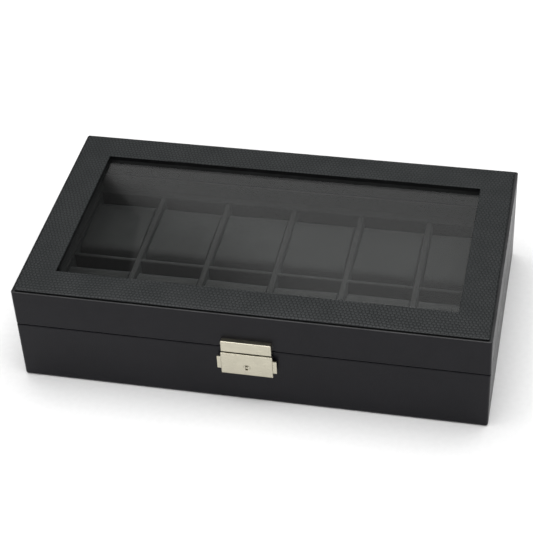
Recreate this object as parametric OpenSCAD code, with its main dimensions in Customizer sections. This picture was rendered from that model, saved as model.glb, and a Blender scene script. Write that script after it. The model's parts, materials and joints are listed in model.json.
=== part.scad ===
// Watch box with a glazed lid, twelve cushioned compartments and a key lock.
// Millimetres. The origin is the centre of the underside, +X runs to the right,
// +Y to the hinges and +Z up. The lid is drawn closed.

/* [Box] */
// Width over the leather, left to right
box_w = 335; // [300:1:380]
// Depth over the leather, front to rear
box_d = 190; // [175:1:220]
// Height with the lid closed
box_h = 80; // [78:1:100]
// Height of the base's rim
rim_z = 48.5; // [47.5:0.5:50]
// Gap between the rims of the base and the lid
seam_gap = 0.3; // [0.3:0.1:0.8]
// Radius of the upright corners
corner_r = 1.8; // [1.7:0.1:4]

/* [Walls and skins] */
// Thickness of the board walls
wall_t = 8; // [6:0.5:9]
// Thickness of the leather over them
wrap_t = 1; // [0.8:0.1:1.2]
// Thickness of the lining boards in the base
lining_t = 1.5; // [1:0.1:2]
// Thickness of the lining in the lid
lid_lining_t = 0.8; // [0.6:0.1:1]
// Thickness of the bottom board
bottom_t = 4; // [3:0.5:5]
// Thickness of the felt on the underside
felt_t = 1; // [0.8:0.1:1.2]
// Thickness of the lining on the floor
floor_lining_t = 1; // [0.8:0.1:1.5]

/* [Compartments] */
// Compartments in each of the two rows
columns = 6; // [5:1:7]
// Height of the divider tops above the table
divider_z = 37; // [34:0.5:42]
// Thickness of the cross dividers
divider_t = 4.5; // [3:0.5:6]
// Thickness of the long divider
long_divider_t = 3.5; // [3:0.5:6]
// Thickness of the insert's front and rear rails
end_rail_t = 8.5; // [4:0.5:12]
// Thickness of the insert's left and right rails
side_rail_t = 2.3; // [1.5:0.1:4]

/* [Cushions] */
// Gap between a cushion and the dividers at its sides
cushion_side_gap = 0.6; // [0.6:0.1:3]
// Gap between a cushion and the rails at its ends
cushion_end_gap = 5; // [1.5:0.1:6]
// Height of a cushion's crown above the table
cushion_z = 35.5; // [28:0.5:36]
// Radius of a cushion's upper end edges
cushion_end_r = 11; // [6:0.5:12]
// Radius of a cushion's upper side edges
cushion_side_r = 4; // [4:0.5:9]

/* [Lid window] */
// Width of the window between its edge strips
window_w = 284; // [240:1:290]
// Depth of the window between its edge strips
window_d = 138.4; // [120:0.2:145]
// Depth of the glass below the top of the lid
glass_drop = 3.8; // [3.6:0.1:5]
// Thickness of the glass
glass_t = 2; // [1.5:0.5:3]
// Thickness of the strip round the window's edge
edge_strip_t = 0.8; // [0.6:0.1:1.2]

/* [Hinges] */
// Distance between the middles of the two hinges
hinge_span = 190; // [140:1:240]
// Width of one hinge
hinge_w = 24; // [18:1:30]
// Outer radius of the hinge barrel
barrel_r = 1.9; // [1.6:0.1:1.9]
// Radius of the hinge pin
hinge_pin_r = 0.9; // [0.7:0.1:1]
// Thickness of a hinge leaf
leaf_t = 0.6; // [0.4:0.1:0.7]

/* [Lock] */
// Width of the lock's cover
lock_w = 37; // [34:0.5:42]
// Height of the lock's cover
lock_h = 19; // [18.5:0.5:19]
// Height of the lock cover's lower edge above the table
lock_z = 27.4; // [27:0.1:27.6]
// Width over the two thumb tabs of the lock's cover
tab_span = 42.2; // [40:0.2:46]
// Radius of the key plug
plug_r = 2.4; // [2.3:0.1:2.6]
// Height of the key plug's axis above the table
plug_z = 34.7; // [34.4:0.1:35]
// Width of the hasp on the lid
hasp_w = 36; // [34:0.5:42]
// Height of the hasp on the lid
hasp_h = 9.3; // [9:0.1:10]

/* [Hidden] */
$fn = 48;
eps = 0.01;
CROSS_DIVIDERS = [for (i = [1:columns - 1]) str("cross_divider_", i)];
FRONT_CUSHIONS = [for (i = [1:columns]) str("cushion_front_", i)];
REAR_CUSHIONS = [for (i = [1:columns]) str("cushion_rear_", i)];
BASE_NODES = [
    "base_bottom_panel", "base_front_wall", "base_rear_wall", "base_left_wall", "base_right_wall",
    "base_leather_wrap", "base_bottom_felt", "floor_lining", "base_lining_front", "base_lining_rear",
    "base_lining_left", "base_lining_right", "insert_front_rail", "insert_rear_rail",
    "insert_left_rail", "insert_right_rail", "long_divider"
];
LID_NODES = [
    "lid_front_wall", "lid_rear_wall", "lid_left_wall", "lid_right_wall", "lid_leather_wrap",
    "lid_top_frame", "lid_top_cover", "window_edge_strip", "window_glass", "glass_retainer", "lid_lining"
];
HARDWARE_NODES = [
    "hinge_left_base_leaf", "hinge_right_base_leaf", "hinge_left_lid_leaf", "hinge_right_lid_leaf",
    "hinge_pins", "hinge_screws_base", "hinge_screws_lid", "lock_back_plate", "lock_cover",
    "lock_plug", "lock_springs", "lock_rivets", "hasp_hook_plate", "hasp_cover", "hasp_rivets"
];

// Levels, from the table up
board_z = felt_t;
wall_z = board_z + bottom_t;
floor_z = wall_z + floor_lining_t;
wall_top_z = rim_z - wrap_t;
lining_inset = 0.5;
lining_top_z = rim_z - lining_inset;
lid_z = rim_z + seam_gap;
lid_wall_z = lid_z + wrap_t;
lid_lining_z = lid_z + lining_inset;
glass_top_z = box_h - glass_drop;
glass_z = glass_top_z - glass_t;
retainer_t = 7;
retainer_z = glass_z - retainer_t;
frame_top_z = box_h - 2.9;
channel_z = frame_top_z + 0.4;
bead_top_z = box_h - 1.6;
strip_top_z = box_h - 0.9;
wrap_foot_z = 0.2;

// Leather edges: a bead and a channel run round the top panel
foot_edge_r = 1.6;
rim_edge_r = 1;
bead_edge_r = 0.5;
bead_w = 0.9;
channel_w = 1.1;
turned_band = 12;
felt_gap = 0.3;
felt_r = 4;

// Plan sizes: the board core, the opening between walls, the lined inside
core_w = box_w - 2 * wrap_t;
core_d = box_d - 2 * wrap_t;
core_r = corner_r - wrap_t;
open_w = core_w - 2 * wall_t;
open_d = core_d - 2 * wall_t;
lined_w = open_w - 2 * lining_t;
lined_d = open_d - 2 * lining_t;
lid_lined_w = open_w - 2 * lid_lining_t;
lid_lined_d = open_d - 2 * lid_lining_t;

// Compartments
field_w = lined_w - 2 * side_rail_t;
field_d = lined_d - 2 * end_rail_t;
pitch = (field_w + divider_t) / columns;
cell_w = pitch - divider_t;
cell_d = (field_d - long_divider_t) / 2;
halving_z = (floor_z + divider_z) / 2;
joint_play = 0.1;

// Cushions stand a hair above the floor lining
cushion_w = cell_w - 2 * cushion_side_gap;
cushion_d = cell_d - 2 * cushion_end_gap;
cushion_foot_z = floor_z + 0.3;
cushion_foot_r = 3;
cushion_corner_r = 5;

// Window
strip_w = window_w + 2 * edge_strip_t;
strip_d = window_d + 2 * edge_strip_t;
window_corner_r = 0.8;
glass_w = window_w + 16;
glass_d = window_d + 16;
glass_corner_r = 1;
glass_play = 0.3;
retainer_in_w = window_w + 5;
retainer_in_d = window_d + 5;
cover_inset = bead_w + channel_w;
cover_low_r = 1.1;
cover_top_r = 1.2;
cover_corner_r = 1.6;

// Hinges: the axis lies behind the rear leather, level with the seam
rear_y = box_d / 2;
barrel_gap = 0.3;
hinge_y = rear_y + barrel_r + barrel_gap;
hinge_z = rim_z + seam_gap / 2;
knuckle_gap = 0.2;
lid_knuckle_w = hinge_w / 3;
leaf_in = 8.5;
leaf_play = 0.1;
leaf_clear_r = barrel_r + 0.3;
pin_play = 0.05;
pin_over = 0.3;
screw_r = 1;
screw_head_r = 1.8;
screw_l = 9;
screw_x = hinge_w / 2 - 5;
screw_y = rear_y - 4.8;

// Lock: depths are measured forward from the front leather
front_y = -box_d / 2;
plate_t = 0.8;
shell_t = 0.9;
cover_back = 1.6;
cover_face = 4.2;
cover_inner = cover_face - shell_t;
edge_r = 1;
rivet_r = 0.8;
rivet_head_r = 1.5;
rivet_head_t = 0.5;
rivet_l = 7;
lock_rivets_at = [[-14, 43], [14, 43], [-6.5, 31], [6.5, 31]];
hasp_rivets_at = [[-11, 52.9], [11, 52.9]];
tab_z = 31.5;
tab_h = 10.8;
tab_back = 2.2;
tab_face = 3.4;
spring_x = 11;
spring_z = 30.6;
spring_l = 7.4;
spring_depth = 2.2;
spring_coil_r = 0.65;
spring_wire_r = 0.15;
spring_turns = 6;
spring_steps = 10;
wire_sides = 5;
seat_w = 2.4;
seat_t = 1.2;
lug_t = 1;
catch_z = 42.6;
catch_t = 0.8;
catch_w = 8;
catch_depth = 0.4;
plug_clear = 0.12;
plug_proud = 0.2;
plug_back_t = 0.7;
flange_r = plug_r + 0.8;
flange_t = 0.6;
flange_gap = 0.1;
cam_l = 5.5;
cam_w = 2;
key_slot_w = 1.8;
key_slot_l = 4.2;
key_slot_depth = 1.6;
key_post_r = 0.8;
hasp_z = rim_z - 1.05;
hasp_face = 4;
hook_z = lid_z + 0.4;
hook_t = 0.8;
tongue_w = 12;
tongue_z = 38.6;
tongue_back = 1.5;
tongue_front = 2.2;
tongue_window_w = 6;
tongue_window_z = tongue_z + 2.6;
tongue_window_h = 3;

// ---- shared shapes ----

// Rounded rectangle about the origin
module outline(w, d, r) {
    square([w - 2 * r, d], center = true);
    square([w, d - 2 * r], center = true);
    for (sx = [-1, 1], sy = [-1, 1])
        translate([sx * (w / 2 - r), sy * (d / 2 - r)]) circle(r);
}

// Upright rounded block between two levels
module block(w, d, z0, z1, r) {
    translate([0, 0, z0]) linear_extrude(z1 - z0) outline(w, d, r);
}

// Square-cornered block between two levels
module bar(x0, x1, y0, y1, z0, z1) {
    translate([x0, y0, z0]) cube([x1 - x0, y1 - y0, z1 - z0]);
}

// Half section of a block whose lower and upper edges are rounded
module edge_section(reach, z0, z1, low_r, top_r) {
    translate([0, z0 + low_r]) square([reach, z1 - z0 - low_r - top_r]);
    translate([0, z0]) square([reach - low_r, low_r + eps]);
    translate([0, z1 - top_r - eps]) square([reach - top_r, top_r + eps]);
    intersection() {
        translate([reach - low_r, z0 + low_r]) circle(low_r);
        translate([reach - low_r, z0]) square(low_r + eps);
    }
    intersection() {
        translate([reach - top_r, z1 - top_r]) circle(top_r);
        translate([reach - top_r, z1 - top_r - eps]) square(top_r + eps);
    }
}

// Whole section, both halves
module full_section(reach, z0, z1, low_r, top_r) {
    edge_section(reach, z0, z1, low_r, top_r);
    mirror([1, 0]) edge_section(reach, z0, z1, low_r, top_r);
}

// Block with rounded upright corners and rounded lower and upper edges
module eased_block(w, d, z0, z1, r, low_r, top_r) {
    for (sx = [-1, 1], sy = [-1, 1])
        translate([sx * (w / 2 - r), sy * (d / 2 - r), 0])
            rotate_extrude() edge_section(r, z0, z1, low_r, top_r);
    rotate([90, 0, 90])
        linear_extrude(w - 2 * r, center = true) full_section(d / 2, z0, z1, low_r, top_r);
    rotate([90, 0, 0])
        linear_extrude(d - 2 * r, center = true) full_section(w / 2, z0, z1, low_r, top_r);
}

// Cylinder along Y, from depth a to depth b in front of the front leather
module front_rod(x, z, r, a, b) {
    translate([x, front_y - a, z]) rotate([90, 0, 0]) cylinder(r = r, h = b - a);
}

// Slab parallel to the front, from depth a to depth b
module front_slab(x0, x1, z0, z1, a, b) {
    bar(x0, x1, front_y - b, front_y - a, z0, z1);
}

// Cylinder along X on the hinge axis, about x
module hinge_rod(x, r, l) {
    translate([x, hinge_y, hinge_z]) rotate([0, 90, 0]) cylinder(r = r, h = l, center = true);
}

// Rivet shanks in the front wall of the base or of the lid
module rivet_shanks(points) {
    for (p = points) front_rod(p[0], p[1], rivet_r, -rivet_l, plate_t);
}

// Places its children at the screws of both hinges
module at_screws() {
    for (side = [-1, 1], s = [-1, 1])
        translate([side * hinge_span / 2 + s * screw_x, screw_y, 0]) children();
}

module base_screw() {
    translate([0, 0, rim_z - leaf_t]) cylinder(r1 = screw_r, r2 = screw_head_r, h = leaf_t);
    translate([0, 0, rim_z - leaf_t - screw_l]) cylinder(r = screw_r, h = screw_l + eps);
}

module lid_screw() {
    translate([0, 0, lid_z]) cylinder(r1 = screw_head_r, r2 = screw_r, h = leaf_t);
    translate([0, 0, lid_z + leaf_t - eps]) cylinder(r = screw_r, h = screw_l + eps);
}

// Board core inside the leather, solid
module core(z0, z1) {
    block(core_w, core_d, z0, z1, core_r);
}

// Front wall between two levels, square inside and rounded outside
module front_wall(z0, z1) {
    intersection() {
        core(z0, z1);
        bar(-box_w, box_w, -box_d, -open_d / 2, z0 - 1, z1 + 1);
    }
}

module side_wall(z0, z1) {
    bar(open_w / 2, core_w / 2, -open_d / 2, open_d / 2, z0, z1);
}

// Pockets in a rim for the two hinge leaves
module leaf_pockets(z0, z1) {
    for (side = [-1, 1])
        translate([side * hinge_span / 2, 0, 0])
            bar(-hinge_w / 2 - leaf_play, hinge_w / 2 + leaf_play,
                rear_y - leaf_in - leaf_play, rear_y + 1, z0, z1);
}

// ---- base ----

module base_bottom_panel() {
    color("#b08a5e") core(board_z, wall_z);
}

module base_front_wall() {
    color("#b08a5e") difference() {
        front_wall(wall_z, wall_top_z);
        rivet_shanks(lock_rivets_at);
    }
}

module base_rear_wall() {
    color("#b08a5e") difference() {
        mirror([0, 1, 0]) front_wall(wall_z, wall_top_z);
        at_screws() base_screw();
    }
}

module base_left_wall() {
    color("#b08a5e") mirror([1, 0, 0]) side_wall(wall_z, wall_top_z);
}

module base_right_wall() {
    color("#b08a5e") side_wall(wall_z, wall_top_z);
}

module base_leather_wrap() {
    color("#2c2c30") difference() {
        eased_block(box_w, box_d, wrap_foot_z, rim_z, corner_r, foot_edge_r, rim_edge_r);
        core(board_z, wall_top_z);
        bar(-open_w / 2, open_w / 2, -open_d / 2, open_d / 2, wall_top_z - 1, rim_z + 1);
        bar(turned_band - box_w / 2, box_w / 2 - turned_band,
            turned_band - box_d / 2, box_d / 2 - turned_band, wrap_foot_z - 1, board_z + 1);
        leaf_pockets(rim_z - leaf_t, rim_z + 1);
        at_screws() base_screw();
        rivet_shanks(lock_rivets_at);
    }
}

module base_bottom_felt() {
    inset = turned_band + felt_gap;
    color("#232326") block(box_w - 2 * inset, box_d - 2 * inset, 0, board_z, felt_r);
}

module floor_lining() {
    color("#4a4a4d") bar(-open_w / 2, open_w / 2, -open_d / 2, open_d / 2, wall_z, floor_z);
}

module base_lining_front() {
    color("#55565a") bar(-open_w / 2, open_w / 2, -open_d / 2, -lined_d / 2, floor_z, lining_top_z);
}

module base_lining_rear() {
    color("#55565a") bar(-open_w / 2, open_w / 2, lined_d / 2, open_d / 2, floor_z, lining_top_z);
}

module base_lining_right() {
    color("#55565a") bar(lined_w / 2, open_w / 2, -lined_d / 2, lined_d / 2, floor_z, lining_top_z);
}

module base_lining_left() {
    mirror([1, 0, 0]) base_lining_right();
}

module insert_rear_rail() {
    color("#5a5b5f") bar(-lined_w / 2, lined_w / 2, field_d / 2, lined_d / 2, floor_z, divider_z);
}

module insert_front_rail() {
    mirror([0, 1, 0]) insert_rear_rail();
}

module insert_right_rail() {
    color("#5a5b5f") bar(field_w / 2, lined_w / 2, -field_d / 2, field_d / 2, floor_z, divider_z);
}

module insert_left_rail() {
    mirror([1, 0, 0]) insert_right_rail();
}

// Middle of the gap after column i
function divider_x(i) = (i - columns / 2) * pitch;

// The long divider is slotted from above at every cross divider
module long_divider() {
    half_slot = divider_t / 2 + joint_play;
    color("#5a5b5f") difference() {
        bar(-field_w / 2, field_w / 2, -long_divider_t / 2, long_divider_t / 2, floor_z, divider_z);
        for (i = [1:columns - 1])
            bar(divider_x(i) - half_slot, divider_x(i) + half_slot,
                -long_divider_t, long_divider_t, halving_z, divider_z + 1);
    }
}

// A cross divider is slotted from below over the long divider
module cross_divider(i) {
    half_slot = long_divider_t / 2 + joint_play;
    color("#5a5b5f") translate([divider_x(i), 0, 0]) difference() {
        bar(-divider_t / 2, divider_t / 2, -field_d / 2, field_d / 2, floor_z, divider_z);
        bar(-divider_t, divider_t, -half_slot, half_slot, floor_z - 1, halving_z);
    }
}

// One cushion, about its own compartment's middle
module cushion_body() {
    intersection() {
        rotate([90, 0, 0]) linear_extrude(cushion_d, center = true)
            full_section(cushion_w / 2, cushion_foot_z, cushion_z, cushion_foot_r, cushion_side_r);
        rotate([90, 0, 90]) linear_extrude(cushion_w, center = true)
            full_section(cushion_d / 2, cushion_foot_z, cushion_z, cushion_foot_r, cushion_end_r);
        block(cushion_w, cushion_d, cushion_foot_z - 1, cushion_z + 1, cushion_corner_r);
    }
}

// Cushion of column i, in the front row (row = -1) or the rear row (row = 1)
module cushion(i, row) {
    x = divider_x(i) - pitch / 2;
    y = row * (long_divider_t + cell_d) / 2;
    color("#4d4d50") translate([x, y, 0]) cushion_body();
}

// ---- lid ----

module lid_front_wall() {
    color("#b08a5e") difference() {
        front_wall(lid_wall_z, glass_z);
        rivet_shanks(hasp_rivets_at);
    }
}

module lid_rear_wall() {
    color("#b08a5e") difference() {
        mirror([0, 1, 0]) front_wall(lid_wall_z, glass_z);
        at_screws() lid_screw();
    }
}

module lid_right_wall() {
    color("#b08a5e") side_wall(lid_wall_z, glass_z);
}

module lid_left_wall() {
    mirror([1, 0, 0]) lid_right_wall();
}

module lid_leather_wrap() {
    band_w = box_w - 2 * turned_band;
    band_d = box_d - 2 * turned_band;
    color("#2c2c30") difference() {
        eased_block(box_w, box_d, lid_z, bead_top_z, corner_r, rim_edge_r, bead_edge_r);
        core(lid_wall_z, frame_top_z);
        bar(-open_w / 2, open_w / 2, -open_d / 2, open_d / 2, lid_z - 1, lid_wall_z + 1);
        bar(-band_w / 2, band_w / 2, -band_d / 2, band_d / 2, frame_top_z - 1, channel_z + 1);
        block(box_w - 2 * bead_w, box_d - 2 * bead_w, channel_z, bead_top_z + 1, corner_r - bead_w);
        leaf_pockets(lid_z - 1, lid_z + leaf_t);
        at_screws() lid_screw();
        rivet_shanks(hasp_rivets_at);
    }
}

// Board ring under the top panel, rebated from below for the glass
module lid_top_frame() {
    rebate_w = glass_w + 2 * glass_play;
    rebate_d = glass_d + 2 * glass_play;
    color("#b08a5e") difference() {
        core(glass_z, frame_top_z);
        bar(-strip_w / 2, strip_w / 2, -strip_d / 2, strip_d / 2, glass_z - 1, frame_top_z + 1);
        bar(-rebate_w / 2, rebate_w / 2, -rebate_d / 2, rebate_d / 2, glass_z - 1, glass_top_z);
    }
}

// Textured leather panel, with the channel left clear all round it and a lip over the edge strip
module lid_top_cover() {
    band_w = box_w - 2 * turned_band;
    band_d = box_d - 2 * turned_band;
    cover_w = box_w - 2 * cover_inset;
    cover_d = box_d - 2 * cover_inset;
    color("#3c4243") difference() {
        union() {
            eased_block(cover_w, cover_d, channel_z, box_h, cover_corner_r, cover_low_r, cover_top_r);
            bar(-band_w / 2, band_w / 2, -band_d / 2, band_d / 2, frame_top_z, channel_z + cover_low_r);
        }
        bar(-strip_w / 2, strip_w / 2, -strip_d / 2, strip_d / 2, frame_top_z - 1, strip_top_z);
        block(window_w, window_d, strip_top_z - 1, box_h + 1, window_corner_r);
    }
}

// Dark leather strip round the cut edge of the window
module window_edge_strip() {
    color("#101114") difference() {
        bar(-strip_w / 2, strip_w / 2, -strip_d / 2, strip_d / 2, glass_top_z, strip_top_z);
        block(window_w, window_d, glass_top_z - 1, strip_top_z + 1, window_corner_r);
    }
}

module window_glass() {
    color("#dfe8ea", 0.3) block(glass_w, glass_d, glass_z, glass_top_z, glass_corner_r);
}

// Velvet-covered ring that holds the glass up in its rebate
module glass_retainer() {
    color("#55565a") difference() {
        bar(-open_w / 2, open_w / 2, -open_d / 2, open_d / 2, retainer_z, glass_z);
        bar(-retainer_in_w / 2, retainer_in_w / 2, -retainer_in_d / 2, retainer_in_d / 2,
            retainer_z - 1, glass_z + 1);
    }
}

// Lining inside the lid's walls, below the retainer
module lid_lining() {
    color("#55565a") difference() {
        bar(-open_w / 2, open_w / 2, -open_d / 2, open_d / 2, lid_lining_z, retainer_z);
        bar(-lid_lined_w / 2, lid_lined_w / 2, -lid_lined_d / 2, lid_lined_d / 2, lid_z - 1, retainer_z + 1);
    }
}

// ---- hinges ----

// The base leaf carries the two outer knuckles, side is -1 or 1
module hinge_base_leaf(side) {
    x = side * hinge_span / 2;
    color("#b9b4a8") difference() {
        union() {
            bar(x - hinge_w / 2, x + hinge_w / 2, rear_y - leaf_in, hinge_y, rim_z - leaf_t, rim_z);
            hinge_rod(x, barrel_r, hinge_w);
        }
        hinge_rod(x, leaf_clear_r, lid_knuckle_w + 2 * knuckle_gap);
        hinge_rod(x, hinge_pin_r, hinge_w + 2);
        at_screws() base_screw();
    }
}

// The lid leaf carries the middle knuckle
module hinge_lid_leaf(side) {
    x = side * hinge_span / 2;
    outer_w = (hinge_w - lid_knuckle_w) / 2;
    outer_x = (lid_knuckle_w + outer_w) / 2;
    color("#b9b4a8") difference() {
        union() {
            bar(x - hinge_w / 2, x + hinge_w / 2, rear_y - leaf_in, hinge_y, lid_z, lid_z + leaf_t);
            hinge_rod(x, barrel_r, lid_knuckle_w);
        }
        for (s = [-1, 1]) hinge_rod(x + s * outer_x, leaf_clear_r, outer_w + eps);
        hinge_rod(x, hinge_pin_r + pin_play, hinge_w + 2);
        at_screws() lid_screw();
    }
}

module hinge_pins() {
    color("#8f8c85") for (side = [-1, 1])
        hinge_rod(side * hinge_span / 2, hinge_pin_r, hinge_w + 2 * pin_over);
}

module hinge_screws_base() {
    color("#8f8c85") at_screws() base_screw();
}

module hinge_screws_lid() {
    color("#8f8c85") at_screws() lid_screw();
}

// ---- lock ----

module lock_back_plate() {
    color("#c4beb2") difference() {
        union() {
            front_slab(2 - lock_w / 2, lock_w / 2 - 2, lock_z + 1.5, lock_z + lock_h - 1.2, 0, plate_t);
            for (s = [-1, 1])
                front_slab(s * spring_x - seat_w / 2, s * spring_x + seat_w / 2,
                    spring_z - seat_t, spring_z, 0, spring_depth + spring_coil_r + spring_wire_r);
        }
        rivet_shanks(lock_rivets_at);
    }
}

// Pressed metal block with its front edges and its four upright edges rounded
module pressed_block(w, z0, z1, back, face) {
    h = z1 - z0;
    mid_z = (z0 + z1) / 2;
    intersection() {
        translate([0, front_y - back, mid_z]) rotate([90, 0, 0])
            linear_extrude(face - back) outline(w, h, edge_r);
        translate([0, front_y, z0 - 1]) linear_extrude(h + 2) outline(w, 2 * face, edge_r);
        translate([0, front_y, mid_z]) rotate([90, 0, 90])
            linear_extrude(w + 2, center = true) outline(2 * face, h, edge_r);
    }
}

// Sliding cover with a thumb tab at each side, open behind and notched on top for the hasp's tongue
module lock_cover() {
    z1 = lock_z + lock_h;
    lug_z = spring_z + spring_l;
    color("#cdc7bb") difference() {
        union() {
            difference() {
                pressed_block(lock_w, lock_z, z1, cover_back, cover_face);
                front_slab(shell_t - lock_w / 2, lock_w / 2 - shell_t, lock_z + shell_t,
                    z1 - shell_t, cover_back - 1, cover_inner);
                front_slab(-tongue_w / 2 - 1, tongue_w / 2 + 1, z1 - 2, z1 + 1,
                    cover_back - 1, cover_inner);
            }
            for (s = [-1, 1])
                front_slab(s * spring_x - seat_w / 2, s * spring_x + seat_w / 2,
                    lug_z, lug_z + lug_t, cover_back, cover_inner + 0.1);
            front_slab(-catch_w / 2, catch_w / 2, catch_z, catch_z + catch_t,
                cover_inner - catch_depth, cover_inner + 0.1);
            for (side = [0, 1]) mirror([side, 0, 0])
                front_slab(lock_w / 2 - shell_t / 2, tab_span / 2, tab_z, tab_z + tab_h,
                    tab_back, tab_face);
        }
        front_rod(0, plug_z, plug_r + plug_clear, 0, cover_face + 1);
    }
}

// Key plug with its flange, its cam and a key slot round a middle post
module lock_plug() {
    flange_front = cover_inner - flange_gap;
    flange_back = flange_front - flange_t;
    cam_back = flange_back - plug_back_t;
    slot_back = cover_face - key_slot_depth;
    color("#b8b2a6") difference() {
        union() {
            front_rod(0, plug_z, plug_r, cam_back, cover_face + plug_proud);
            front_rod(0, plug_z, flange_r, flange_back, flange_front);
            front_slab(-cam_l, 0, plug_z - cam_w / 2, plug_z + cam_w / 2, cam_back, flange_back + eps);
        }
        difference() {
            front_slab(-key_slot_w / 2, key_slot_w / 2, plug_z - key_slot_l / 2,
                plug_z + key_slot_l / 2, slot_back, cover_face + 1);
            front_rod(0, plug_z, key_post_r, slot_back - 1, cover_face);
        }
    }
}

function helix_point(t, r) = [r * cos(360 * t), r * sin(360 * t)];

// Section points of the spring wire at turn t, measured from the spring's foot
function wire_ring(t, rise) = [for (k = [0:wire_sides - 1]) let (c = helix_point(t, 1),
    a = k * 360 / wire_sides,
    reach = spring_coil_r + spring_wire_r * cos(a))
    [c[0] * reach, c[1] * reach, spring_wire_r + rise * t + spring_wire_r * sin(a)]];

// Coil spring about Z, from z = 0 to its free length
module coil_spring() {
    n = wire_sides;
    steps = spring_steps * spring_turns;
    rise = (spring_l - 2 * spring_wire_r) / spring_turns;
    points = [for (s = [0:steps]) each wire_ring(s / spring_steps, rise)];
    sides = [for (s = [0:steps - 1], k = [0:n - 1])
        [n * s + k, n * s + (k + 1) % n, n * s + n + (k + 1) % n, n * s + n + k]];
    ends = [[for (k = [0:n - 1]) n - 1 - k], [for (k = [0:n - 1]) n * steps + k]];
    polyhedron(points, concat(sides, ends), convexity = 8);
}

module lock_springs() {
    color("#9a9a98") for (s = [-1, 1])
        translate([s * spring_x, front_y - spring_depth, spring_z]) coil_spring();
}

// Flat-headed rivets through a plate into the front wall
module rivets(points) {
    for (p = points) {
        front_rod(p[0], p[1], rivet_r, -rivet_l, plate_t);
        front_rod(p[0], p[1], rivet_head_r, plate_t, plate_t + rivet_head_t);
    }
}

module lock_rivets() {
    color("#a8a298") rivets(lock_rivets_at);
}

// Plate on the lid, with the tongue that drops behind the lock's cover
module hasp_hook_plate() {
    jog_top_z = hook_z + hook_t;
    color("#c4beb2") difference() {
        union() {
            front_slab(shell_t - hasp_w / 2, hasp_w / 2 - shell_t, hook_z,
                hasp_z + hasp_h - shell_t, 0, plate_t);
            front_slab(-tongue_w / 2, tongue_w / 2, hook_z, jog_top_z, 0, tongue_front);
            front_slab(-tongue_w / 2, tongue_w / 2, tongue_z, jog_top_z, tongue_back, tongue_front);
        }
        rivet_shanks(hasp_rivets_at);
        front_slab(-tongue_window_w / 2, tongue_window_w / 2, tongue_window_z,
            tongue_window_z + tongue_window_h, 0, cover_face);
    }
}

// Cap crimped round the hook plate
module hasp_cover() {
    z1 = hasp_z + hasp_h;
    color("#cdc7bb") difference() {
        pressed_block(hasp_w, hasp_z, z1, 0, hasp_face);
        front_slab(shell_t - hasp_w / 2, hasp_w / 2 - shell_t, hasp_z + shell_t, z1 - shell_t,
            -1, hasp_face - shell_t);
        front_slab(-tongue_w / 2 - 1, tongue_w / 2 + 1, hasp_z - 1, hasp_z + 2,
            -1, hasp_face - shell_t);
        front_slab(-hasp_w, hasp_w, hasp_z - 1, hook_z, -1, 0.5);
    }
}

module hasp_rivets() {
    color("#a8a298") rivets(hasp_rivets_at);
}

base_bottom_panel();
base_front_wall();
base_rear_wall();
base_left_wall();
base_right_wall();
base_leather_wrap();
base_bottom_felt();
floor_lining();
base_lining_front();
base_lining_rear();
base_lining_left();
base_lining_right();
insert_front_rail();
insert_rear_rail();
insert_left_rail();
insert_right_rail();
long_divider();
for (i = [1:columns - 1]) cross_divider(i);
for (i = [1:columns]) cushion(i, -1);
for (i = [1:columns]) cushion(i, 1);
lid_front_wall();
lid_rear_wall();
lid_left_wall();
lid_right_wall();
lid_leather_wrap();
lid_top_frame();
lid_top_cover();
window_edge_strip();
window_glass();
glass_retainer();
lid_lining();
hinge_base_leaf(-1);  // hinge_left_base_leaf
hinge_base_leaf(1);  // hinge_right_base_leaf
hinge_lid_leaf(-1);  // hinge_left_lid_leaf
hinge_lid_leaf(1);  // hinge_right_lid_leaf
hinge_pins();
hinge_screws_base();
hinge_screws_lid();
lock_back_plate();
lock_cover();
lock_plug();
lock_springs();
lock_rivets();
hasp_hook_plate();
hasp_cover();
hasp_rivets();
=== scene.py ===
"""The watch box's looks: embossed and smooth leather, velvet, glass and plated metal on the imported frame."""

import json
import math

import bpy
import numpy as np
from mathutils import Euler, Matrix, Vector, noise


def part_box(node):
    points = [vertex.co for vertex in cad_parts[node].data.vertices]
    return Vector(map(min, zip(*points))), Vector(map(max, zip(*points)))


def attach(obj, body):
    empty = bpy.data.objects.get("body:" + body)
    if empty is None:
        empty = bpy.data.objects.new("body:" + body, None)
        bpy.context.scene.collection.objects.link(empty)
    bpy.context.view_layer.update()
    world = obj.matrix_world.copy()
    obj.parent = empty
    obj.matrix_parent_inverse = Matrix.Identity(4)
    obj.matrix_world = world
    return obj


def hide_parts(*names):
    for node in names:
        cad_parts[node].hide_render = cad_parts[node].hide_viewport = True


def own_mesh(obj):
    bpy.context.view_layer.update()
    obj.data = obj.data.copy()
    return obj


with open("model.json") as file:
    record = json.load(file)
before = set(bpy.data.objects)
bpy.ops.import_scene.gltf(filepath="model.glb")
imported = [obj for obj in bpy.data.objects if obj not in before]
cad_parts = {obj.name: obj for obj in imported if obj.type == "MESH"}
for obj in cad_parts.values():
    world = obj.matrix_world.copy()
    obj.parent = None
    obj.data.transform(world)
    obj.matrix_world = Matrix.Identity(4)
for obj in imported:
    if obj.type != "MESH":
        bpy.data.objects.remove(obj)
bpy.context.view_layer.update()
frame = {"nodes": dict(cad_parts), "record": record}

MM = 0.001
NODES = frame["nodes"]
NODE_SLOT = {s["node"]: s["material_slot"] for s in frame["record"]["subparts"]}
NODE_BODY = {n: b for b, members in frame["record"]["behaviour"]["bodies"].items() for n in members}


# ---- numbers and noise ----

def smooth_step(x, low, high):
    """0 below low, 1 above high, and a smooth rise between them."""
    t = np.clip((x - low) / (high - low), 0.0, 1.0)
    return t * t * (3.0 - 2.0 * t)


def scatter(a, b, seed):
    """A fixed pseudo-random number from 0 to 1 for each pair of whole numbers."""
    s = np.sin(a * 127.1 + b * 311.7 + seed * 74.7) * 43758.5453
    return s - np.floor(s)


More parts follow.
